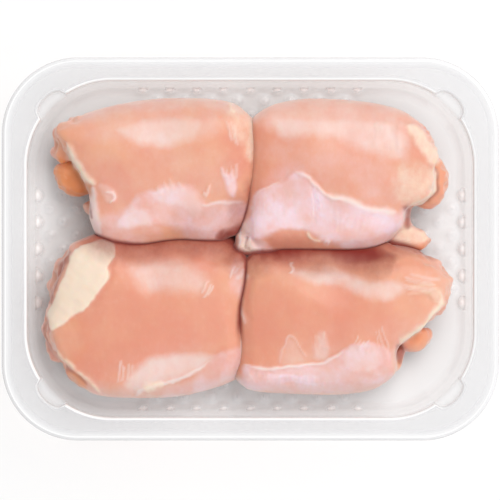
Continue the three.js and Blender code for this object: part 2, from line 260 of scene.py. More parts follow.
def plastic_material(settings):
    """Clear formed sheet: faint face on and whiter edge on and on the flange, and white on drawn edges and
    bumps, where a painted highlight lies. It passes most light on, so its own shadow is faint."""
    material, tree, shader = blank_material("clear_sheet")
    place = put(tree, "ShaderNodeTexCoord").outputs["Object"]
    gleam = put(tree, "ShaderNodeAttribute", attribute_name="gleam").outputs["Fac"]
    colour = place_group(tree, "Soft mottle", {
        "Vector": place, "Size": 0.05, "Under": opaque(settings.plastic),
        "Over": opaque([v * 0.97 for v in settings.plastic])})["Color"]
    # Painted highlight: the gleam attribute turns the sheet white
    whiter = mix_colours(tree, gleam, colour, (1, 1, 1, 1))
    edge_on = put(tree, "ShaderNodeLayerWeight", {"Blend": 0.35}).outputs["Facing"]
    height = put(tree, "ShaderNodeSeparateXYZ", {"Vector": place}).outputs["Z"]
    undrawn = put(tree, "ShaderNodeMapRange", {
        "Value": height, "From Min": FLANGE_FROM[0], "From Max": FLANGE_FROM[1],
        "To Max": FLANGE_HAZE}).outputs[0]
    haze = math_node(tree, "ADD", settings.haze, undrawn)
    hiding = math_node(tree, "ADD", haze, math_node(tree, "MULTIPLY", edge_on, EDGE_ON_HAZE))
    seen = math_node(tree, "ADD", hiding, math_node(tree, "MULTIPLY", gleam, GLEAM_HAZE), clamp=True)
    path = put(tree, "ShaderNodeLightPath").outputs
    unseen = math_node(tree, "MAXIMUM", path["Is Shadow Ray"], path["Is Diffuse Ray"])
    let_through = math_node(tree, "SUBTRACT", 1.0, math_node(tree, "MULTIPLY", unseen, PASSED_ON))
    alpha = math_node(tree, "MULTIPLY", seen, let_through)
    waves = place_group(tree, "Fine grain", {"Vector": place, "Size": 0.012, "Grain": 0.15})["Height"]
    normal = put(tree, "ShaderNodeBump", {
        "Height": waves, "Strength": 0.12, "Distance": 0.0008}).outputs[0]
    feed(tree, shader, {
        "Base Color": whiter, "Alpha": alpha, "Normal": normal, "Roughness": 0.16, "IOR": 1.5})
    return material


# Fibres run round the fold, so patterns are drawn out along Y and Z
FIBRE_STRETCH = (1.0, 0.75, 0.75)

# How each tint lies over the flesh: the size of the clouds in it and how far they fray it
TINTS = {
    "rose": (0.012, 0.4),
    "amber": (0.010, 0.4),
    "pale_and_highlight": (0.010, 0.22),
    "film": (0.010, 0.25),
    "fat": (0.004, 0.3),
    "shade_and_dark_meat": (0.008, 0.15),
}

# How rough and how wet the flesh is, and how fat and silver skin differ from it
FLESH_ROUGHNESS = 0.46
FAT_DRYNESS = 0.14
FILM_SLICKNESS = 0.08
FLESH_WETNESS = 0.36
FAT_LESS_WET = 0.25

# The share of whole silver skin in its clouds, between which the flesh shows
FILM_WHOLE = 0.45


def meat_material(name, settings, lean):
    """Moist raw meat. Painted masks on the piece say where fat and silver skin are, and where painted
    highlights, a painted sheen and painted shade in clefts lie.
    """
    material, tree, shader = blank_material(name)
    place = put(tree, "ShaderNodeTexCoord").outputs["Object"]
    along = put(tree, "ShaderNodeMapping", {"Vector": place, "Scale": FIBRE_STRETCH}).outputs[0]
    under = [p + (r - p) * lean for p, r in zip(settings.peach, settings.rose)]
    flesh = place_group(tree, "Soft mottle", {
        "Vector": place, "Size": 0.024, "Under": opaque(under), "Over": opaque(settings.rose)})["Color"]
    fibres = place_group(tree, "Fine grain", {"Vector": along, "Size": 0.0022, "Grain": 0.5})["Height"]
    streaks = put(tree, "ShaderNodeMapRange", {
        "Value": fibres, "From Min": 0.75, "From Max": 1.2, "To Max": 0.1}).outputs[0]
    colour = mix_colours(tree, streaks, flesh, opaque(settings.pale_and_highlight))
    masks = {}
    for tint, (size, break_up) in TINTS.items():
        painted = put(tree, "ShaderNodeAttribute", attribute_name=tint).outputs["Fac"]
        masks[tint] = place_group(tree, "Broken mask", {
            "Mask": painted, "Vector": along, "Size": size, "Break up": break_up})["Mask"]
        over = opaque(getattr(settings, tint))
        if tint == "film":
            thin = place_group(tree, "Soft mottle", {
                "Vector": place, "Size": 0.012, "Under": over, "Over": opaque(under)})["Color"]
            over = mix_colours(tree, FILM_WHOLE, thin, over)
        colour = mix_colours(tree, masks[tint], colour, over)
    dry = math_node(tree, "MULTIPLY", masks["fat"], FAT_DRYNESS)
    slick = math_node(tree, "MULTIPLY", masks["film"], FILM_SLICKNESS)
    rough = math_node(tree, "SUBTRACT", math_node(tree, "ADD", FLESH_ROUGHNESS, dry), slick)
    wet = math_node(tree, "SUBTRACT", FLESH_WETNESS, math_node(tree, "MULTIPLY", masks["fat"], FAT_LESS_WET))
    height = place_group(tree, "Fine grain", {"Vector": along, "Size": 0.003, "Grain": 0.4})["Height"]
    normal = put(tree, "ShaderNodeBump", {
        "Height": height, "Strength": 0.15, "Distance": 0.0004}).outputs[0]
    feed(tree, shader, {
        "Base Color": colour, "Roughness": rough, "Coat Weight": wet, "Normal": normal,
        "Subsurface Weight": 0.5, "Subsurface Radius": (1.0, 0.35, 0.22), "Subsurface Scale": 0.005,
        "Sheen Weight": 0.35, "Sheen Roughness": 0.45, "Sheen Tint": (1.0, 0.9, 0.87, 1.0),
        "Coat Roughness": 0.34, "Coat IOR": 1.35, "IOR": 1.4})
    return material


# Finishing a piece

def new_object(name, mesh):
    """A mesh as an object at the origin, in the scene."""
    piece = bpy.data.objects.new(name, mesh)
    bpy.context.scene.collection.objects.link(piece)
    return piece


def finish_piece(piece, node, material):
    """Shades a piece smooth, gives it its material and lets it stand for its solid."""
    piece.data.materials.clear()
    piece.data.materials.append(material)
    piece.data.shade_smooth()
    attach(piece, "root")
    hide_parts(node)


# Tray

# Gleam, wherever it is given for the tray, is a painted highlight: it turns the sheet white and less clear
# on drawn edges, the foot and bump tops
# Steps of the mesh: round a corner, along a long and a short side, round the foot and over the floor
CORNER_STEPS = 44
LONG_STEPS = 110
SHORT_STEPS = 68
FOOT_STEPS = 9
FLOOR_GRID = 1.1 * MM

# The rim's section from the lip's edge up to the flange, in millimetres: outwards, down from the top
# and how much it gleams
LIP = ((0, 2.2, 0.3), (-0.12, 1.3, 0.3), (-0.4, 0.6, 0.5), (-0.85, 0.12, 0.6), (-1.3, 0, 0.5),
       (-1.75, 0.03, 0.9), (-2.1, 0.15, 0.6))

# How far the flange lies below the rim's crest, and how far in from the outline its rings begin
FLANGE_DROP = 0.15 * MM
FLANGE_BAND = 5 * MM

# The mouth's edge: rings on the flange just outside it, as distance out in millimetres and gleam, its
# radius and its gleam
MOUTH_RINGS = ((2.4, 0), (1.3, 0.15))
EDGE_RADIUS = 0.9 * MM
EDGE_GLEAM = 0.8

# Denest lugs: how far they stand out, how far down their shelf is, how wide they are in their corner,
# in degrees either side of its middle, how they end there, as distance below the shelf in
# millimetres, share and gleam, and how much fainter the drawn edge is at them
LUG_REACH = 4.5 * MM
LUG_DEPTH = 6 * MM
LUG_HALF_ANGLE = 12
LUG_END = ((-2, 1, 0.1), (0, 0.95, 0.5), (0.5, 0.5, 0.4), (1, 0, 0.3))
LUG_FAINTER = 0.75

# How much the rounded foot of the walls gleams
FOOT_GLEAM = 0.12

# The outer rows of bumps stand in the foot, past these distances from the middle, and are taller.
# Their gleam reaches this share of their radius, at the ends of the tray and at its sides.
END_ROW_X = 97 * MM
SIDE_ROW_Y = 72 * MM
FOOT_BUMP_RADIUS = 4.3 * MM
FOOT_BUMP_RISE = 3.5 * MM
END_ROW_GLEAM = 0.95
SIDE_ROW_GLEAM = 0.6

# The low bumps on the floor gleam faintly, and there are none in its corners, past these distances
FLOOR_GLEAM = 0.3
FLOOR_GLEAM_REACH = 1.2
SMOOTH_CORNER_X = 53 * MM
SMOOTH_CORNER_Y = 28 * MM

Station = namedtuple("Station", "rim out z lug gleam")


def lug_share(degrees):
    """How far a denest lug stands out at an angle in its corner, from 0 to 1."""
    off = abs(degrees - 45) / LUG_HALF_ANGLE
    return 0 if off >= 1 else math.sqrt(1 - off ** 2.4)


def ring_gleams(station):
    """Whiteness along one ring: the drawn edge is fainter where a lug stands out."""
    fainter = 0 if station.rim else LUG_FAINTER
    gleams = []
    for run in [LONG_STEPS, SHORT_STEPS] * 2:
        gleams += [station.gleam * (1 - fainter * lug_share(90 * step / CORNER_STEPS))
                   for step in range(CORNER_STEPS + 1)]
        gleams += [station.gleam] * (run - 1)
    return gleams


def ring_places(tray, station):
    """Points of one ring round the tray, anticlockwise: four corners and the runs between them."""
    half_x = (tray.length if station.rim else tray.mouth_length) / 2
    half_y = (tray.width if station.rim else tray.mouth_width) / 2
    corner = tray.corner if station.rim else tray.mouth_corner
    arcs = []
    for turn, (side_x, side_y) in enumerate(((1, 1), (-1, 1), (-1, -1), (1, -1))):
        arc = []
        for step in range(CORNER_STEPS + 1):
            degrees = 90 * step / CORNER_STEPS
            reach = corner + station.out + station.lug * LUG_REACH * lug_share(degrees)
            angle = math.radians(90 * turn + degrees)
            arc.append(Vector((side_x * (half_x - corner) + reach * math.cos(angle),
                               side_y * (half_y - corner) + reach * math.sin(angle), station.z)))
        arcs.append(arc)
    places = []
    for turn, arc in enumerate(arcs):
        places += arc
        run = LONG_STEPS if turn % 2 == 0 else SHORT_STEPS
        following = arcs[(turn + 1) % 4][0]
        places += [arc[-1].lerp(following, step / run) for step in range(1, run)]
    return places


def wall_run(tray, z):
    """Plan run of the leaning wall at a height, negative towards the middle."""
    return -(tray.height - z) * math.tan(tray.draft)


def tray_stations(tray):
    """Rings of the sheet's upper face from the rim's lip to the floor."""
    top = tray.height
    flange = top - FLANGE_DROP
    shelf = top - LUG_DEPTH
    foot_top = tray.sheet + tray.foot
    foot_edge = wall_run(tray, foot_top) - tray.foot
    rim = [Station(True, out * MM, top - drop * MM, 0, gleam) for out, drop, gleam in LIP]
    rim.append(Station(True, -FLANGE_BAND, flange, 0, 0))
    mouth = [Station(False, out * MM, flange, 1, gleam) for out, gleam in MOUTH_RINGS]
    for degrees in (90, 60, 30, 5):
        angle = math.radians(degrees)
        mouth.append(Station(False, EDGE_RADIUS * (1 - math.cos(angle)),
                             flange - EDGE_RADIUS * (1 - math.sin(angle)), 1, EDGE_GLEAM))
    wall = []
    for drop, lug, gleam in LUG_END:
        z = shelf - drop * MM
        wall.append(Station(False, wall_run(tray, z), z, lug, gleam))
    lug_foot = wall[-1].z
    for share in (0.8, 0.6, 0.4, 0.2):
        z = foot_top + (lug_foot - foot_top) * share
        wall.append(Station(False, wall_run(tray, z), z, 0, 0))
    for step in range(FOOT_STEPS + 1):
        angle = math.radians(90 * step / FOOT_STEPS)
        wall.append(Station(False, foot_edge + tray.foot * math.cos(angle),
                            foot_top - tray.foot * math.sin(angle), 0, FOOT_GLEAM * math.sin(2 * angle)))
    return rim + mouth + wall


def next_ring(bm, ring, places):
    """Extrudes a closed ring of vertices inwards and sets the new ring on its places."""
    edges = [bm.edges.get(pair) for pair in zip(ring, ring[1:] + ring[:1])]
    made = bmesh.ops.extrude_edge_only(bm, edges=edges)["geom"]
    fresh = {item for item in made if isinstance(item, bmesh.types.BMVert)}
    following = []
    for vert, place in zip(ring, places):
        new = next(e.other_vert(vert) for e in vert.link_edges if e.other_vert(vert) in fresh)
        new.co = place
        following.append(new)
    return following


def inside_floor(tray, x, y, margin):
    """Whether a point lies inside the flat floor's rounded outline by more than a margin."""
    edge = wall_run(tray, tray.sheet + tray.foot) - tray.foot
    half_x = tray.mouth_length / 2 + edge
    half_y = tray.mouth_width / 2 + edge
    corner = tray.mouth_corner + edge
    past_x = max(abs(x) - (half_x - corner), 0)
    past_y = max(abs(y) - (half_y - corner), 0)
    if past_x > 0 and past_y > 0:
        return corner - math.hypot(past_x, past_y) > margin
    return half_x - abs(x) > margin and half_y - abs(y) > margin


def add_floor(bm, tray, ring):
    """A fine square grid over the floor, joined to the last ring of the walls."""
    half_x = tray.mouth_length / 2
    half_y = tray.mouth_width / 2
    spread = Matrix.Diagonal((half_x, half_y, 1, 1))
    made = bmesh.ops.create_grid(
        bm, x_segments=round(2 * half_x / FLOOR_GRID), y_segments=round(2 * half_y / FLOOR_GRID),
        size=1, matrix=Matrix.Translation((0, 0, tray.sheet)) @ spread)["verts"]
    outside = [v for v in made if not inside_floor(tray, *v.co.xy, 0.8 * MM)]
    bmesh.ops.delete(bm, geom=outside, context="VERTS")
    stairs = [e for e in bm.edges if e.is_boundary and abs(e.verts[0].co.z - tray.sheet) < 1e-7
              and inside_floor(tray, *e.verts[0].co.xy, 0.1 * MM)]
    last = [bm.edges.get(pair) for pair in zip(ring, ring[1:] + ring[:1])]
    bmesh.ops.triangle_fill(bm, edges=stairs + last, use_beauty=True, normal=(0, 0, 1))


def bump_rise(tray, x, y):
    """Height of the staggered bumps above the floor at a point, and how much it gleams there."""
    best, crest = 0.0, 0.0
    pitch = tray.bump_pitch
    for half in (0, 0.5):
        place_x = (round(x / pitch - half) + half) * pitch
        place_y = (round(y / pitch - half) + half) * pitch
        if abs(place_x) > SMOOTH_CORNER_X and abs(place_y) > SMOOTH_CORNER_Y:
            continue
        end_row = abs(place_x) > END_ROW_X
        if end_row or abs(place_y) > SIDE_ROW_Y:
            radius, height, blunt = FOOT_BUMP_RADIUS, FOOT_BUMP_RISE, 0.6
            gleam, gleam_reach = 1, END_ROW_GLEAM if end_row else SIDE_ROW_GLEAM
        else:
            radius, height, blunt = tray.bump_radius, tray.bump_height, 1.2
            gleam, gleam_reach = FLOOR_GLEAM, FLOOR_GLEAM_REACH
        away = math.hypot(x - place_x, y - place_y) / radius
        if away < 1:
            best = max(best, height * (1 - away ** 2) ** blunt)
            crest = max(crest, gleam - (away / gleam_reach) ** 2)
    return best, crest


def build_tray(tray):
    """The whole tray as one formed sheet: rim, flange, lugs, walls, foot and bumped floor."""
    stations = tray_stations(tray)
    bm = bmesh.new()
    gleam = bm.verts.layers.float.new("gleam")
    outline = ring_places(tray, stations[0])
    ring = bmesh.ops.create_circle(bm, segments=len(outline), radius=tray.length / 2)["verts"]
    for vert, place in zip(ring, outline):
        vert.co = place
        vert[gleam] = stations[0].gleam
    for station in stations[1:]:
        ring = next_ring(bm, ring, ring_places(tray, station))
        for vert, white in zip(ring, ring_gleams(station)):
            vert[gleam] = white
    add_floor(bm, tray, ring)
    for vert in bm.verts:
        if vert.co.z < tray.sheet + tray.foot * 0.98:
            rise, crest = bump_rise(tray, vert.co.x, vert.co.y)
            vert.co.z = max(vert.co.z, tray.sheet + rise)
            vert[gleam] = max(vert[gleam], crest)
    bmesh.ops.recalc_face_normals(bm, faces=bm.faces)
    if sum(f.normal.z * f.calc_area() for f in bm.faces) < 0:
        bmesh.ops.reverse_faces(bm, faces=bm.faces)
    mesh = bpy.data.meshes.new("clear_tray")
    bm.to_mesh(mesh)
    bm.free()
    piece = new_object("clear_tray", mesh)
    solid = piece.modifiers.new("sheet", "SOLIDIFY")
    solid.thickness = tray.sheet
    solid.offset = -1
    return piece


# Marks on the meat, in millimetres seen from above. A Patch is an area inside a closed line, a Strand
# follows an open line and a Feather is a bundle of strands that run nearly side by side. Each paints its
# tint and raises the surface a little. Some pale marks are painted highlights, and some dark red ones
# painted shade in creases and under neighbours.

Patch = namedtuple("Patch", "tint strength rise edge points")
Strand = namedtuple("Strand", "tint strength rise width points")
Feather = namedtuple("Feather", "tint strength rise width count spread start end")

BACK_LEFT_MARKS = [
    # Painted highlight on the back slope, with a fainter one up to the top edge
    Patch("pale_and_highlight", 0.62, 0, 7, [
        (-62, 54), (-57, 50.5), (-51, 48), (-39, 47.5), (-30, 48.5), (-25, 52.5), (-22, 58.5),
        (-32, 61.5), (-48, 59.5), (-57, 56.5)]),
    Patch("pale_and_highlight", 0.25, 0, 10, [(-76, 52), (-60, 62), (-30, 69), (-8, 68), (-14, 56), (-30, 50), (-60, 49)]),
    Patch("pale_and_highlight", 0.12, 0, 12, [(-76, 44), (-20, 46), (-8, 26), (-60, 14), (-70, 24)]),
    Patch("film", 0.35, 0, 6, [(-69, 4), (-69, 15), (-46, 17), (-44, 5)]),
    Patch("rose", 0.5, 0, 10, [(-70, 40), (-52, 42), (-44, 32), (-54, 18), (-68, 20)]),
    Patch("film", 0.6, 0.2, 4, [
        (-61, 10), (-60, 16), (-55, 20.5), (-50, 25), (-44, 27.5), (-35, 29.5), (-27, 28), (-22, 22.5),
        (-14, 21), (-4.5, 22), (-2, 14.5), (-9.5, 8.5), (-17.5, 5), (-28, 6), (-33, 9.5), (-41, 12),
        (-50, 10)]),
    Patch("pale_and_highlight", 0.75, 0.15, 3.5, [(-60.5, 11), (-59, 15), (-54, 18.5), (-47, 17.5), (-46, 12), (-54, 10)]),
    Patch("pale_and_highlight", 0.6, 0.1, 3, [
        (-46, 26), (-33, 28.5), (-27, 26), (-22.5, 20.5), (-25, 14.5), (-31, 19), (-40, 21)]),
    Patch("rose", 0.6, 0, 5, [(-33, 15), (-18, 19), (-4, 18), (-7, 7), (-22, 5)]),
    # Painted shade on the right side, where it turns down into the cleft
    Patch("shade_and_dark_meat", 0.14, 0, 8, [(-36, 8), (-34, 18), (-12, 20), (-8, 8), (-20, 4)]),
    Patch("shade_and_dark_meat", 0.4, 0, 8, [(-11, 20), (-4, 26), (3, 24), (1, 6), (-10, 4)]),
    Strand("shade_and_dark_meat", 0.9, 0, 2.4, [(0.8, 34), (-1.4, 24), (-3.8, 14), (-10, 7.4), (-16, 5.6)]),
    Strand("pale_and_highlight", 0.8, 0.35, 0.8, [(-22.5, 21), (-16, 21.2), (-10, 20.8), (-4.5, 22)]),
    Feather("pale_and_highlight", 0.35, 0.15, 0.8, 4, 14, (-38, 31), (-36, 25)),
    Patch("film", 0.85, 0.3, 2, [
        (-13.7, 37.3), (-10.6, 34.5), (-8, 36), (-6.3, 29.9), (-7.5, 24), (-10, 25), (-11.2, 30)]),
    Feather("pale_and_highlight", 0.4, 0.15, 0.6, 3, 7, (-9, 38), (-8, 30)),
    Strand("pale_and_highlight", 0.55, 0.5, 0.9, [(-21.7, 26), (-20.5, 24.8), (-19, 27.5), (-18, 29.5)]),
    Patch("fat", 0.32, 0.2, 5, [(-11, 65), (-8, 67), (-2, 62), (-1, 54), (-4, 48), (-8, 52), (-11, 58)]),
    Strand("fat", 0.7, 0.3, 0.9, [(-8.6, 68), (-8, 64), (-5.5, 62)]),
    Strand("fat", 0.55, 0.2, 1.2, [(-1.5, 60), (-1, 50), (-2, 40)]),
    Feather("pale_and_highlight", 0.4, 0.1, 0.7, 4, 6, (-9, 58), (-7, 48)),
    Strand("fat", 1.0, 0.8, 1.5, [(-84.5, 49), (-82, 42), (-78.2, 36.7), (-74.5, 32), (-71, 29.5)]),
    Patch("amber", 0.3, 0, 3, [(-93, 54), (-93, 43), (-86, 40), (-84, 50), (-86, 55)]),
    Patch("amber", 0.95, 0, 2, [(-93, 35), (-89, 43), (-80, 38), (-73, 29.5), (-74, 22), (-87, 23)]),
    Patch("shade_and_dark_meat", 0.25, 0, 5, [(-81, 35), (-73, 30), (-72, 24), (-78, 25)]),
    Strand("rose", 0.9, 0, 3, [(-91, 31), (-85, 26), (-76, 24)]),
    Patch("shade_and_dark_meat", 0.16, 0, 4, [(-84, 34), (-76, 33), (-74, 25), (-84, 26)]),
    Feather("pale_and_highlight", 0.4, 0.25, 0.7, 3, 4, (-91, 37), (-84, 34)),
    Strand("pale_and_highlight", 0.5, 0.2, 0.6, [(-85.5, 38), (-86, 34), (-84.5, 31.5)]),
    Strand("pale_and_highlight", 0.45, 0.2, 0.6, [(-88.6, 34), (-86.5, 29.5), (-82, 27.6)]),
    Patch("pale_and_highlight", 0.4, 0.3, 3, [(-69.6, 30), (-64, 28.5), (-62.5, 23.5), (-64.5, 21.5), (-68, 25)]),
    Strand("pale_and_highlight", 0.85, 0.5, 0.7, [(-67.5, 27.5), (-63.5, 26), (-62.8, 23.8), (-64.6, 21.8)]),
    Patch("pale_and_highlight", 0.9, 0.4, 2, [
        (-73, 28), (-70.5, 27), (-69.8, 20), (-68, 12), (-68, 6.5), (-72, 9), (-74.5, 17)]),
    Strand("shade_and_dark_meat", 0.6, 0, 0.6, [(-73, 21), (-72.5, 17.5), (-71.8, 14)]),
    Strand("rose", 0.7, -0.2, 0.9, [(-71.5, 26), (-72.3, 21), (-72.4, 17)]),
]

BACK_RIGHT_MARKS = [
    # Painted highlight on the back slope, with a fainter one up to the top edge
    Patch("pale_and_highlight", 0.6, 0, 7, [
        (11, 59), (23, 61), (40, 60), (57, 60), (67, 57.5), (72, 50), (71, 41), (63, 41.5), (57, 43),
        (47, 47), (37, 51.5), (23, 52.3), (15, 51)]),
    Patch("pale_and_highlight", 0.4, 0, 10, [(8, 56), (10, 66), (40, 69), (66, 66), (74, 54), (58, 50), (30, 53)]),
    Feather("pale_and_highlight", 0.28, 0.1, 1.1, 5, 14, (64, 60), (65, 44)),
    Feather("rose", 0.3, -0.1, 0.6, 4, 10, (60, 62), (60, 50)),
    Patch("film", 0.35, 0, 9, [(8, 30), (16, 40), (26, 40), (24, 30), (14, 26)]),
    Patch("film", 0.18, 0, 10, [(6, 46), (30, 50), (60, 40), (72, 30), (60, 20), (30, 30)]),
    Patch("film", 0.85, 0.4, 3.5, [
        (21.5, 36), (27, 31.5), (33, 26), (42, 22), (50.5, 19), (61, 16.5), (68, 16), (72, 18), (69.5, 11),
        (64, 5.5), (54, 1), (36.5, 4), (25.5, 8.5), (16, 9.5), (5.5, 5.5), (-1, 3.5), (1, 14.5), (4.5, 25),
        (8.5, 29), (16, 31.5)]),
    Patch("pale_and_highlight", 0.4, 0, 4, [(3, 12), (6, 24), (14, 28), (22, 26), (24, 16), (16, 11.5)]),
    Patch("rose", 0.6, 0, 6, [(-1, 16), (2, 28), (9, 32), (12, 24), (4, 10)]),
    # Painted shade at the lower right
    Patch("rose", 0.4, 0, 5, [(48, 3), (60, 9), (70, 14), (66, 5), (56, 0)]),
    Strand("pale_and_highlight", 0.85, 0.6, 0.8, [(21.5, 35.8), (27, 31.7), (33.2, 26.5), (42, 22.3)]),
    Strand("pale_and_highlight", 1.0, 0.6, 1.9, [(35, 25.5), (44, 21.8), (52, 19), (60, 17.2), (67, 16.6)]),
    Strand("pale_and_highlight", 0.5, 0.3, 0.6, [(2, 14.5), (4.3, 24.5), (8.4, 28.9), (13, 30.5)]),
    Feather("rose", 0.55, -0.25, 0.3, 5, 3.4, (28.5, 29), (30, 12)),
    Feather("pale_and_highlight", 0.8, 0.25, 0.3, 4, 3.6, (28.8, 28), (30.2, 12)),
    Feather("rose", 0.3, -0.1, 0.5, 6, 16, (12, 27), (12, 16)),
    Feather("rose", 0.25, -0.1, 0.6, 7, 26, (48, 18), (46, 6)),
    Patch("rose", 0.3, 0, 8, [(9, 8.5), (23, 8.5), (33, 4.5), (46, 0.5), (36, -1), (10, -1)]),
    # Painted shade along the front edge's crease
    Patch("shade_and_dark_meat", 0.22, 0, 6, [(10, 7), (24, 7), (34, 3), (58, 1), (36, -2), (10, -2)]),
    Strand("fat", 0.7, 0.5, 0.6, [(25.5, 7.5), (29, 4.8), (33, 4.5)]),
    Strand("pale_and_highlight", 1.0, 0.5, 0.9, [(34.5, 5.2), (36.5, 3.6)]),
    Patch("fat", 0.75, 0.3, 3, [
        (71.5, 56), (77, 56), (82, 51), (86, 45), (87.5, 40.5), (83, 38.5), (78.5, 45)]),
    Strand("rose", 0.8, -0.3, 0.8, [(71.5, 57.6), (77, 57.2), (81.5, 53)]),
    Patch("fat", 0.5, 0, 7, [(66, 24), (70, 38), (84, 36), (84.5, 25), (76, 20)]),
    Strand("fat", 0.95, 0.5, 1.2, [(84.5, 38), (84.2, 31.5), (83.6, 25.5), (78, 22), (71.5, 20)]),
    Strand("shade_and_dark_meat", 0.45, -0.5, 0.8, [(85.8, 38), (86.4, 31), (85.5, 25), (80, 21)]),
    Patch("amber", 0.4, 0, 3, [(85, 41), (88, 41), (91.5, 30), (87, 22), (77, 20), (85, 26)]),
    Strand("pale_and_highlight", 0.5, 0.3, 0.6, [(84, 39.5), (86, 36.5), (85.5, 33)]),
    Patch("rose", 0.9, 0, 1.5, [(69, 20), (75, 20), (75, 10), (69, 9)]),
    Strand("shade_and_dark_meat", 0.7, 0, 1.8, [(69.8, 19), (73.4, 17.5), (73.4, 14), (72, 9.5)]),
    Strand("shade_and_dark_meat", 0.5, -0.3, 0.8, [(76, 20.4), (80, 21.4), (84, 23)]),
    Patch("fat", 0.7, 0.3, 2.5, [(69.6, 11), (76, 10), (82, 5.5), (78, 3), (68, 5)]),
    Patch("amber", 0.55, 0, 2.5, [(72, 4.5), (82, 4.5), (83, 1), (76, -1), (66, 0)]),
    Patch("pale_and_highlight", 0.7, 0.3, 3, [
        (-5.5, -2), (-3, 6), (-1.5, 12), (1, 12.5), (0.5, 6), (3, 2.5), (10, 1.5), (5, -3)]),
    Strand("pale_and_highlight", 0.95, 0.8, 0.9, [(-5.5, -1.5), (-4, 3), (-2.8, 7), (-1.5, 12.5)]),
    Strand("rose", 0.8, -0.5, 0.7, [(-2.5, -1), (-1.6, 3), (-0.5, 7)]),
    Strand("pale_and_highlight", 0.8, 0.6, 0.8, [(0, 1.5), (3, 1.8), (6, 1), (10, 1)]),
    Patch("fat", 0.5, 0.2, 2, [(-4.5, -2.5), (-3.4, 3), (1, 4), (4, -2)]),
    Strand("shade_and_dark_meat", 0.5, -0.4, 0.5, [(-1.5, 5.5), (-1.2, 3), (0.4, 1)]),
    Strand("rose", 0.7, -0.4, 0.7, [(0.5, -1.2), (4, -0.8), (8, -1.2)]),
    Patch("film", 0.5, 0.2, 2, [(1, 6), (6, 5), (9, 2), (4, 0), (0, 2)]),
    Strand("rose", 0.8, -0.4, 0.8, [(1.8, 13), (0.4, 8), (1.2, 4), (4, 2)]),
]

FRONT_LEFT_MARKS = [
    # Painted highlight on the back slope
    Patch("pale_and_highlight", 0.5, 0, 8, [
        (-54, -8), (-46, -6.5), (-29, -7), (-21, -14), (-23, -19), (-36, -19), (-49, -18.5), (-53, -13)]),
    Feather("pale_and_highlight", 0.5, 0.15, 0.5, 5, 5, (-19, -16), (-22, -22)),
    Patch("fat", 1.0, 0.8, 1.3, [
        (-77, 1.7), (-67, 3), (-62, -1.6), (-64.5, -7.5), (-65, -13.5), (-70, -21), (-75.5, -27),
        (-82.5, -30.5), (-89, -36.5), (-92, -36.5), (-92.5, -30), (-89, -22), (-85, -12), (-82.5, -3.5)]),
    Strand("rose", 0.6, -0.3, 1.2, [(-60.5, 0), (-63, -7), (-64, -14), (-68.5, -21.5), (-74.5, -28)]),
    Strand("shade_and_dark_meat", 0.6, 0, 1.4, [(-91.5, -26), (-90, -18), (-87, -9), (-82.5, -1)]),
    Strand("rose", 0.9, 0, 1.6, [(-94.8, -30), (-95, -38), (-93.5, -45), (-90, -51)]),
    Strand("shade_and_dark_meat", 0.4, 0, 0.8, [(-94.5, -33), (-94, -42), (-91.5, -49)]),
    Patch("pale_and_highlight", 0.15, 0, 8, [(-92, -36), (-82, -34), (-76, -42), (-84, -50), (-92, -44)]),
    Patch("amber", 0.3, 0, 13, [(-91, -37), (-84, -32), (-77, -36), (-76, -44), (-82, -50), (-89, -46)]),
    # Painted shadow of the back row along the back edge
    Strand("shade_and_dark_meat", 0.7, 0, 2.2, [(-62, 3), (-50, 1), (-30, 2.5), (-12, 1.5), (-6, -4)]),
    Strand("shade_and_dark_meat", 0.3, 0, 6, [(-60, 0), (-40, 0), (-20, 0), (-8, -4)]),
    Strand("fat", 0.7, 0.5, 0.9, [
        (-90, -46.5), (-86.5, -50), (-83.6, -51.6), (-77.7, -57.5), (-72.4, -62), (-68.5, -66.7)]),
    Strand("pale_and_highlight", 0.6, 0.2, 0.8, [(-92, -38), (-91.5, -43), (-89.5, -47)]),
    Patch("amber", 0.7, 0, 2.5, [(-87, -52), (-83, -54.5), (-76, -60), (-76, -65.5), (-86, -59)]),
    Strand("shade_and_dark_meat", 0.45, -0.2, 0.8, [(-84.5, -53.5), (-79.5, -58), (-74.5, -63)]),
    Patch("pale_and_highlight", 0.7, 0, 6, [
        (-58, -62.5), (-53, -55), (-46, -50.3), (-33, -48), (-20, -48.6), (-18, -51.5), (-29.6, -58.5),
        (-39.5, -61), (-53, -67)]),
    Feather("pale_and_highlight", 0.5, 0.15, 0.5, 5, 6, (-57, -52), (-59, -63)),
    Patch("rose", 0.45, 0, 14, [(-78, -24), (-20, -20), (-14, -44), (-76, -50)]),
    Patch("film", 0.42, 0.3, 3, [
        (-16.5, -49.6), (-5.3, -44.5), (-3.3, -49.6), (-6.6, -57.5), (-16.5, -63.4), (-33, -68.7),
        (-42, -68.7), (-39.5, -64), (-29.6, -61), (-20, -53.6)]),
    Patch("rose", 0.7, 0, 5, [(-18, -47), (-5, -44), (-5, -56), (-16, -59)]),
    Strand("pale_and_highlight", 0.95, 0.5, 1.1, [
        (-53.3, -67.5), (-50, -64.8), (-43, -62.6), (-33, -59.5), (-26.3, -56.2), (-18.4, -51.3)]),
    Strand("fat", 0.8, 0.5, 1.7, [(-49, -64.6), (-44, -63), (-40, -62)]),
    Strand("pale_and_highlight", 0.8, 0.35, 0.8, [(-4.6, -38), (-5, -45), (-4, -50), (-2.6, -56.2)]),
    Patch("film", 0.35, 0.2, 4, [(-8, -6), (-4, -7), (-4, -18), (-6, -23), (-9, -16)]),
    Feather("pale_and_highlight", 0.6, 0.4, 0.5, 3, 4, (-5, -8), (-8, -15)),
]

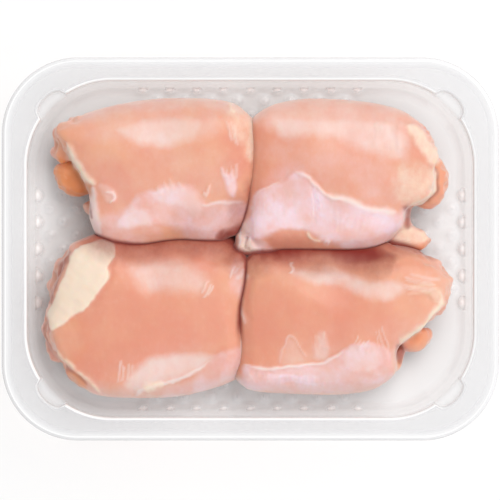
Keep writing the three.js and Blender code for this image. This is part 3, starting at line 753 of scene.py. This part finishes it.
FRONT_RIGHT_MARKS = [
    # Painted highlight on the back slope
    Patch("pale_and_highlight", 0.6, 0, 5, [
        (18.7, -10.5), (24, -9), (36.6, -9.3), (43.5, -11.7), (50.4, -14), (60.7, -15), (67.6, -14.8),
        (70.3, -18), (67, -22), (57, -23), (49, -20.4), (43.5, -16), (36.6, -15.5), (29.7, -15.8),
        (22.8, -13.5)]),
    # Painted shadow of the back row along the back edge
    Strand("shade_and_dark_meat", 1.0, 0, 5.4, [(1, -3.5), (7, -1.5), (30, -1.5), (50, -3), (68, -3.5)]),
    Strand("shade_and_dark_meat", 0.6, 0, 7.5, [(6, -2), (28, -3.5), (50, -5), (66, -7)]),
    Strand("pale_and_highlight", 0.8, 0.4, 0.6, [(19.5, -6), (18.6, -8), (19.2, -10.5), (17.5, -12)]),
    Feather("pale_and_highlight", 0.4, 0.1, 0.7, 5, 8, (70, -14), (86, -17)),
    Feather("fat", 0.3, 0.15, 0.8, 4, 6, (72, -19), (86, -18)),
    Patch("fat", 0.5, 0.3, 3, [(83, -18), (88.5, -19.5), (88, -25), (84, -25)]),
    Strand("fat", 1.0, 0.6, 1.3, [
        (87.8, -21), (86.8, -25), (84.5, -28.8), (80, -34), (73.5, -39.5), (67.6, -43)]),
    Patch("rose", 0.5, 0, 14, [(4, -18), (60, -24), (64, -40), (4, -48)]),
    Patch("film", 0.55, 0.3, 2.5, [
        (-1, -53.7), (5.6, -54.4), (16, -54.4), (26.3, -53.7), (33.8, -52.3), (39.4, -49.6), (43.5, -45.4),
        (48.3, -44), (58, -42.7), (64, -47.5), (65, -54.4), (66, -58), (57, -62), (47, -64.7), (29.7, -66),
        (9, -65.4), (-4.7, -64), (-2.6, -58)]),
    Patch("pale_and_highlight", 0.48, 0.1, 4, [(44, -46), (57, -43.5), (60, -50), (56, -56), (46, -56)]),
    Patch("rose", 0.35, 0, 4, [(-2, -56), (18, -57), (22, -63), (-3, -63)]),
    Feather("film", 0.9, 0.1, 1.6, 3, 5, (4, -59), (34, -60)),
    Strand("rose", 0.6, -0.3, 1.6, [(59.5, -42), (61, -50), (60.5, -58)]),
    Strand("pale_and_highlight", 0.95, 0.5, 0.8, [
        (-1, -53.5), (5.6, -54.2), (16, -54.4), (26.3, -53.7), (33.8, -52.3), (39.4, -49.6), (43.5, -45.6)]),
    Feather("rose", 0.4, -0.15, 0.5, 9, 34, (16, -56), (15, -63)),
    Feather("pale_and_highlight", 0.5, 0.15, 0.5, 9, 36, (18, -56), (17, -64)),
    Feather("pale_and_highlight", 0.45, 0.2, 0.45, 6, 9, (52, -41), (50, -46)),
    Strand("pale_and_highlight", 0.4, 0.2, 0.6, [(18, -38.5), (15.5, -45), (13.2, -52.3)]),
    Strand("pale_and_highlight", 0.35, 0.2, 0.6, [(18, -38.5), (22, -44), (25.6, -49.5)]),
    Patch("pale_and_highlight", 0.3, 0, 6, [(18, -41), (14, -53), (25, -52)]),
    Patch("pale_and_highlight", 0.45, 0.1, 5, [(31, -40), (34, -39), (36, -50), (29, -50)]),
    Feather("pale_and_highlight", 0.4, 0.15, 0.6, 4, 6, (32, -38), (33, -49)),
    Feather("pale_and_highlight", 0.4, 0.15, 0.4, 5, 5, (59, -36), (62, -47)),
    Strand("pale_and_highlight", 0.8, 0.5, 0.8, [(0.2, -11), (-1.8, -17), (-2.8, -24), (-0.8, -35)]),
    Strand("rose", 0.8, -0.3, 0.8, [(1.6, -12), (0, -18), (-1, -25), (0.8, -34)]),
    Patch("amber", 0.35, 0.2, 2, [
        (71.5, -43.5), (77.5, -38.5), (82.5, -36), (83.5, -39), (80, -46), (74, -47)]),
    Patch("shade_and_dark_meat", 0.6, 0, 1.5, [(66, -44), (70.5, -43.5), (70.5, -50), (68, -54)]),
    Patch("amber", 0.7, 0, 1.5, [(67, -53), (70, -51), (69, -57)]),
    Patch("rose", 0.35, 0, 8, [(2, -20), (14, -18), (16, -34), (4, -36)]),
]

# Each thigh's share of rose in its flesh, and its marks
THIGHS = {
    "thigh_back_left": (0.1, BACK_LEFT_MARKS),
    "thigh_back_right": (0.45, BACK_RIGHT_MARKS),
    "thigh_front_left": (0.35, FRONT_LEFT_MARKS),
    "thigh_front_right": (0.25, FRONT_RIGHT_MARKS),
}

# Strands taper over this share of their length at each end, to these shares of width and strength
TAPER = 1 / 6
END_WIDTH = 0.35
END_STRENGTH = 0.3

# Relief of the meat in millimetres, as the height and the breadth of its swells: of all of it, of
# its torn ends and of its fat. The rounding shrinks a thigh a little, which SPREAD_BACK makes good.
SWELLS = ((0.2, 18), (0.025, 4))
TORN_SWELLS = ((0.6, 5), (0.3, 2.2))
FAT_SWELLS = ((0.07, 2.5),)
SPREAD_BACK = 0.2

# How far the marks' edges wander, in millimetres, and the breadth of those swings
WANDER = ((0.35, 6), (0.12, 1.8))

# Where a thigh's ends become torn, in millimetres along the tray, and how much less so its fat is
# and its top, which faces up by these shares
TORN_FROM = (72, 84)
SMOOTHER_FAT = 0.8
SMOOTHER_TOP = 0.8
TOP_FROM = (0.4, 0.85)

# Marks fade in above these heights, in millimetres, and where the surface faces up by these shares
SHOWN_FROM = (7, 15)
FACING_FROM = (-0.3, 0.35)

# How far the painted shade of a cleft reaches under the back row and beside a neighbour, in millimetres
UNDER_REACH = 14
BESIDE_REACH = 4

# The gaps, in millimetres, within which two thighs are fully and no longer pressed together, and the
# gap that stays, which is below 0 because they press into each other
PRESSED_WITHIN = (2.6, 8)
REMAINING_GAP = -1.2

# How dark the painted shade along seams is, the shares of pressing between which it darkens them, how far it
# fades, and where it does towards the back and the front, from a line in front of the middle
SEAM_STRENGTH = 0.9
SEAM_SHARES = (0.45, 0.9)
SEAM_FADING = 0.8
SEAM_FADES = (25, 38)
SEAM_MIDDLE = 8

# The painted sheen that pales the sides that face out of the pack by these shares: its strength, and how
# much weaker it is on torn ends and over amber
SIDE_SHEEN = 0.38
SIDE_FROM = (-0.05, 0.85)
TORN_SHEEN_LOSS = 0.4
AMBER_SHEEN_LOSS = 0.8


def soft_share(low, high, value):
    """0 below low, 1 above high and a smooth rise between."""
    share = np.clip((value - low) / (high - low), 0, 1)
    return share * share * (3 - 2 * share)


def lumps(places, size, seed):
    """Smooth random swells around 0, each about as broad as size, the same for the same seed."""
    draw = np.random.default_rng(seed)
    count = 20
    ways = draw.normal(size=(count, 3))
    ways /= np.linalg.norm(ways, axis=1)[:, None]
    lengths = 2 * size * draw.uniform(0.7, 1.5, count)
    starts = draw.uniform(0, 2 * math.pi, count)
    turns = places @ (ways * (2 * math.pi / lengths)[:, None]).T + starts
    return np.cos(turns).sum(axis=1) / math.sqrt(count / 2)


def relief(places, swells, seed):
    """The sum of random swells of the given heights and breadths."""
    return sum(height * lumps(places, size, seed + order) for order, (height, size) in enumerate(swells))


def flowing(points, closed):
    """A smooth line through given points, as a row of closer ones."""
    given = np.array(points, float)
    count = len(given)
    if closed:
        picked = [given[(np.arange(count) + shift) % count] for shift in (-1, 0, 1, 2)]
    else:
        held = np.vstack([given[:1], given, given[-1:]])
        picked = [held[shift:shift + count - 1] for shift in range(4)]
    before, start, end, after = picked
    line = []
    for share in np.arange(0, 1, 0.2):
        line.append(0.5 * (2 * start + (end - before) * share
                           + (2 * before - 5 * start + 4 * end - after) * share ** 2
                           + (3 * start - before - 3 * end + after) * share ** 3))
    flat = np.stack(line, axis=1).reshape(-1, 2)
    return flat if closed else np.vstack([flat, given[-1:]])


def distance_to(spots, line, closed):
    """Distance of each spot from a line and the share of the line's length at the nearest point."""
    ends = np.roll(line, -1, axis=0) if closed else line[1:]
    starts = line if closed else line[:-1]
    nearest = np.full(len(spots), np.inf)
    along = np.zeros(len(spots))
    for number, (start, end) in enumerate(zip(starts, ends)):
        run = end - start
        share = np.clip(((spots - start) @ run) / max(run @ run, 1e-12), 0, 1)
        away = np.hypot(*(spots - start - share[:, None] * run).T)
        closer = away < nearest
        nearest[closer] = away[closer]
        along[closer] = (number + share[closer]) / len(starts)
    return nearest, along


def inside(spots, line):
    """Whether each spot is inside a closed line."""
    crossed = np.zeros(len(spots), bool)
    x, y = spots.T
    for (ax, ay), (bx, by) in zip(line, np.roll(line, -1, axis=0)):
        if ay == by:
            continue
        spans = (ay > y) != (by > y)
        crossed ^= spans & (x < (bx - ax) * (y - ay) / (by - ay) + ax)
    return crossed


def feather_strands(feather, seed):
    """The strands of a feather: near-parallel streaks spread across its way, each one different."""
    draw = np.random.default_rng(seed)
    start, end = np.array(feather.start, float), np.array(feather.end, float)
    way = (end - start) / np.linalg.norm(end - start)
    across = np.array([-way[1], way[0]])
    strands = []
    for number in range(feather.count):
        aside = across * feather.spread * ((number + 0.5) / feather.count - 0.5 + draw.uniform(-0.08, 0.08))
        first = start + aside + way * draw.uniform(-1, 2)
        last = end + aside * draw.uniform(0.7, 1.2) - way * draw.uniform(-1, 3)
        middle = (first + last) / 2 + across * draw.uniform(-0.6, 0.6)
        width = feather.width * draw.uniform(0.7, 1.3)
        strands.append(Strand(feather.tint, feather.strength, feather.rise, width, [first, middle, last]))
    return strands


def mark_share(mark, spots):
    """How strongly a patch or a strand shows at each spot, 0 to 1."""
    patch = isinstance(mark, Patch)
    line = flowing(mark.points, patch)
    margin = mark.edge if patch else 3 * mark.width
    near = np.all((spots > line.min(axis=0) - margin) & (spots < line.max(axis=0) + margin), axis=1)
    away, along = distance_to(spots[near], line, patch)
    share = np.zeros(len(spots))
    if patch:
        depth = np.where(inside(spots[near], line), away, -away)
        share[near] = soft_share(-mark.edge / 2, mark.edge / 2, depth)
    else:
        taper = np.sqrt(np.clip(np.minimum(along, 1 - along) / TAPER, 0, 1))
        width = mark.width * (END_WIDTH + (1 - END_WIDTH) * taper)
        share[near] = np.exp(-(away / width) ** 2) * (END_STRENGTH + (1 - END_STRENGTH) * taper)
    return share


def smooth_meat(node, settings):
    """The folded form of a thigh with its facets rounded away, as a fine even mesh."""
    bm = bmesh.new()
    bm.from_mesh(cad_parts[node].data)
    bmesh.ops.remove_doubles(bm, verts=bm.verts, dist=1e-6)
    rough = bpy.data.meshes.new(node + "_rough")
    bm.to_mesh(rough)
    bm.free()
    form = new_object(node + "_form", rough)
    remesh = form.modifiers.new("grain", "REMESH")
    remesh.mode = "VOXEL"
    remesh.voxel_size = settings.grain
    soften = form.modifiers.new("rounding", "SMOOTH")
    soften.factor = 0.5
    soften.iterations = settings.rounding
    depsgraph = bpy.context.evaluated_depsgraph_get()
    mesh = bpy.data.meshes.new_from_object(form.evaluated_get(depsgraph))
    bpy.data.objects.remove(form)
    bpy.data.meshes.remove(rough)
    return mesh


def vertex_rows(source, name):
    """A property of a mesh's vertices or of their normals as rows of three numbers."""
    values = np.empty(len(source) * 3)
    source.foreach_get(name, values)
    return values.reshape(-1, 3)


def side_sheen_share(places, normals):
    """How far each point faces out of the pack, where a painted sheen pales the sides, 0 to 1."""
    side = np.sign(places.mean(axis=0))
    outward = np.maximum(normals[:, 0] * side[0], normals[:, 1] * side[1])
    return soft_share(*SIDE_FROM, outward)


def surface_tree(mesh):
    """A mesh's faces, ready to be searched for the nearest point."""
    bm = bmesh.new()
    bm.from_mesh(mesh)
    tree = BVHTree.FromBMesh(bm)
    bm.free()
    return tree


def clefts(node, places, trees):
    """How near each point lies to a neighbouring thigh, as the strength of the painted shade in the clefts
    round its thigh, and how closely it is pressed to a neighbour, both 0 to 1, and the move that closes the
    gap there. The front row lies under the back row, so there the painted shade reaches further."""
    depth = np.zeros(len(places))
    pressed = np.zeros(len(places))
    move = np.zeros((len(places), 3))
    for other, tree in trees.items():
        if other == node:
            continue
        reach = UNDER_REACH if "front" in node and "back" in other else BESIDE_REACH
        search = max(reach, PRESSED_WITHIN[1])
        away = np.full(len(places), float(search))
        towards = np.zeros((len(places), 3))
        for index, spot in enumerate(map(Vector, places * MM)):
            nearest, _, _, gap = tree.find_nearest(spot, search * MM)
            if gap is not None:
                away[index] = gap / MM
                towards[index] = (nearest - spot) / MM
        depth = np.maximum(depth, 1 - away / reach)
        share = 1 - soft_share(*PRESSED_WITHIN, away)
        closer = share > pressed
        pressed[closer] = share[closer]
        meet = 0.5 - REMAINING_GAP / 2 / np.maximum(away, abs(REMAINING_GAP))
        move[closer] = (towards * (share * meet)[:, None])[closer]
    return depth, pressed, move


def paint_marks(marks, spots, shown, masks, seed):
    """Lays a thigh's marks over its masks and gives the relief that they raise, in millimetres."""
    rise = np.zeros(len(spots))
    for order, mark in enumerate(marks):
        pieces = feather_strands(mark, seed + order) if isinstance(mark, Feather) else [mark]
        for piece in pieces:
            share = mark_share(piece, spots) * shown
            rise += piece.rise * share
            masks[piece.tint] = np.maximum(masks[piece.tint], piece.strength * share)
    return rise


def build_thigh(node, marks, seed, mesh, trees):
    """One folded thigh: its rounded form, its marks in relief and the masks for its colours."""
    places = vertex_rows(mesh.vertices, "co") / MM
    normals = vertex_rows(mesh.vertex_normals, "vector")
    shown = soft_share(*FACING_FROM, normals[:, 2]) * soft_share(*SHOWN_FROM, places[:, 2])
    spots = places[:, :2].copy()
    for order, (reach, size) in enumerate(WANDER):
        for axis in (0, 1):
            spots[:, axis] += reach * lumps(places, size, seed + 1 + 2 * order + axis)
    torn = soft_share(*TORN_FROM, np.abs(places[:, 0]))
    depth, pressed, move = clefts(node, places, trees)
    seam = soft_share(*SEAM_SHARES, pressed)
    seam *= 1 - SEAM_FADING * soft_share(*SEAM_FADES, np.abs(places[:, 1] + SEAM_MIDDLE))
    masks = {tint: np.zeros(len(places)) for tint in TINTS}
    # Painted shade in the clefts and along pressed seams, from closeness to the neighbouring thighs
    masks["shade_and_dark_meat"] = np.maximum(depth, SEAM_STRENGTH * seam)
    # Painted sheen on the sides that face out of the pack
    masks["pale_and_highlight"] = SIDE_SHEEN * side_sheen_share(places, normals) * (1 - TORN_SHEEN_LOSS * torn)
    rise = relief(places, SWELLS, seed + 5) + SPREAD_BACK
    rise += paint_marks(marks, spots, shown, masks, seed)
    masks["pale_and_highlight"] *= 1 - AMBER_SHEEN_LOSS * masks["amber"]
    ragged = torn * (1 - SMOOTHER_FAT * masks["fat"])
    ragged *= 1 - SMOOTHER_TOP * soft_share(*TOP_FROM, normals[:, 2])
    rise += ragged * relief(places, TORN_SWELLS, seed + 7)
    rise += masks["fat"] * relief(places, FAT_SWELLS, seed + 9)
    places += normals * (rise * (1 - pressed))[:, None] + move
    mesh.vertices.foreach_set("co", (places * MM).ravel())
    for tint, values in masks.items():
        mesh.attributes.new(tint, "FLOAT", "POINT").data.foreach_set("value", values.astype(np.float32))
    mesh.update()
    mesh.name = node.replace("thigh", "folded_thigh")
    return new_object(mesh.name, mesh)


# Stage

# Soft lights: size in metres, azimuth clockwise from straight behind the tray, elevation, both in
# degrees, and colour
KEY_LIGHT = {"size": (1.6, 1.1), "azimuth": 36, "elevation": 60, "colour": (1.0, 0.985, 0.97)}
FILL_LIGHT = {"size": (1.6, 1.0), "azimuth": 142, "elevation": 58, "colour": (0.97, 0.98, 1.0)}
LIGHT_DISTANCE = 2.2

# The camera stands a little off the tray's middle
CAMERA_X = -0.11 * MM
CAMERA_Y = -0.46 * MM
SENSOR = 36


def add_light(name, power, size, azimuth, elevation, colour):
    """A soft rectangular light aimed at the middle of the tray."""
    data = bpy.data.lights.new(name, "AREA")
    data.shape = "RECTANGLE"
    data.size, data.size_y = size
    data.energy = power
    data.color = colour
    light = bpy.data.objects.new(name, data)
    turn, lift = math.radians(azimuth), math.radians(elevation)
    light.location = LIGHT_DISTANCE * Vector((
        math.sin(turn) * math.cos(lift), math.cos(turn) * math.cos(lift), math.sin(lift)))
    light.rotation_euler = light.location.to_track_quat("Z", "Y").to_euler()
    bpy.context.scene.collection.objects.link(light)


def add_table(settings):
    """The plain pale table top."""
    bm = bmesh.new()
    bmesh.ops.create_grid(bm, x_segments=2, y_segments=2, size=4)
    bmesh.ops.translate(bm, verts=bm.verts, vec=(0, 0, -0.1 * MM))
    mesh = bpy.data.meshes.new("table_top")
    bm.to_mesh(mesh)
    bm.free()
    material, tree, shader = blank_material("pale_table")
    place = put(tree, "ShaderNodeTexCoord").outputs["Object"]
    colour = place_group(tree, "Soft mottle", {
        "Vector": place, "Size": 0.4, "Under": opaque(settings.floor),
        "Over": opaque([v * 0.99 for v in settings.floor])})["Color"]
    feed(tree, shader, {"Base Color": colour, "Roughness": 0.9, "Specular IOR Level": 0.0})
    mesh.materials.append(material)
    new_object("table_top", mesh)


def add_camera(settings, tray_height):
    """A camera straight above the tray, with the tray's middle just above the picture's."""
    data = bpy.data.cameras.new("overhead")
    data.sensor_width = SENSOR
    data.lens = settings.lens
    data.clip_start = 0.05
    data.clip_end = 50
    camera = bpy.data.objects.new("overhead", data)
    camera.location = (CAMERA_X, CAMERA_Y, tray_height + settings.camera_height)
    bpy.context.scene.collection.objects.link(camera)
    bpy.context.scene.camera = camera


# Operators

class MEATTRAY_OT_stage(bpy.types.Operator):
    """Set up the table top, the lights and the overhead camera"""

    bl_idname = "meattray.stage"
    bl_label = "Stage"

    def execute(self, context):
        settings = context.scene.meattray_stage
        add_table(settings)
        add_light("key", settings.key, **KEY_LIGHT)
        add_light("fill", settings.fill, **FILL_LIGHT)
        world = bpy.data.worlds.new("studio")
        world.use_nodes = True
        background = world.node_tree.nodes["Background"]
        background.inputs["Color"].default_value = (1, 1, 1, 1)
        background.inputs["Strength"].default_value = settings.surround
        context.scene.world = world
        context.scene.view_settings.view_transform = "Standard"
        add_camera(settings, context.scene.meattray_tray.height)
        return {"FINISHED"}


class MEATTRAY_OT_tray(bpy.types.Operator):
    """Build the clear formed tray"""

    bl_idname = "meattray.tray"
    bl_label = "Clear tray"

    def execute(self, context):
        settings = context.scene.meattray_tray
        finish_piece(build_tray(settings), "tray", plastic_material(settings))
        return {"FINISHED"}


class MEATTRAY_OT_thighs(bpy.types.Operator):
    """Build the four folded thighs"""

    bl_idname = "meattray.thighs"
    bl_label = "Folded thighs"

    def execute(self, context):
        settings = context.scene.meattray_meat
        forms = {node: smooth_meat(node, settings) for node in THIGHS}
        trees = {node: surface_tree(mesh) for node, mesh in forms.items()}
        for number, (node, (lean, marks)) in enumerate(THIGHS.items()):
            piece = build_thigh(node, marks, 100 * (number + 1), forms[node], trees)
            finish_piece(piece, node, meat_material("raw_" + node, settings, lean))
        return {"FINISHED"}


class MEATTRAY_PT_sidebar(bpy.types.Panel):
    """The pack's settings and the steps that build it"""

    bl_label = "Meat tray pack"
    bl_space_type = "VIEW_3D"
    bl_region_type = "UI"
    bl_category = "Meat Tray"

    def draw(self, context):
        for group, operator in ((context.scene.meattray_stage, "meattray.stage"),
                                (context.scene.meattray_tray, "meattray.tray"),
                                (context.scene.meattray_meat, "meattray.thighs")):
            box = self.layout.box()
            for name in group.__annotations__:
                box.prop(group, name)
            box.operator(operator)


SETTINGS = (
    ("meattray_tray", TraySettings),
    ("meattray_meat", MeatSettings),
    ("meattray_stage", StageSettings),
)
CLASSES = (MEATTRAY_OT_stage, MEATTRAY_OT_tray, MEATTRAY_OT_thighs, MEATTRAY_PT_sidebar)


def register():
    for name, group in SETTINGS:
        bpy.utils.register_class(group)
        setattr(bpy.types.Scene, name, bpy.props.PointerProperty(type=group))
    for cls in CLASSES:
        bpy.utils.register_class(cls)


def unregister():
    for cls in reversed(CLASSES):
        bpy.utils.unregister_class(cls)
    for name, group in reversed(SETTINGS):
        delattr(bpy.types.Scene, name)
        bpy.utils.unregister_class(group)


def main():
    register()
    bpy.ops.meattray.stage()
    bpy.ops.meattray.tray()
    bpy.ops.meattray.thighs()


if __name__ == "__main__":
    main()
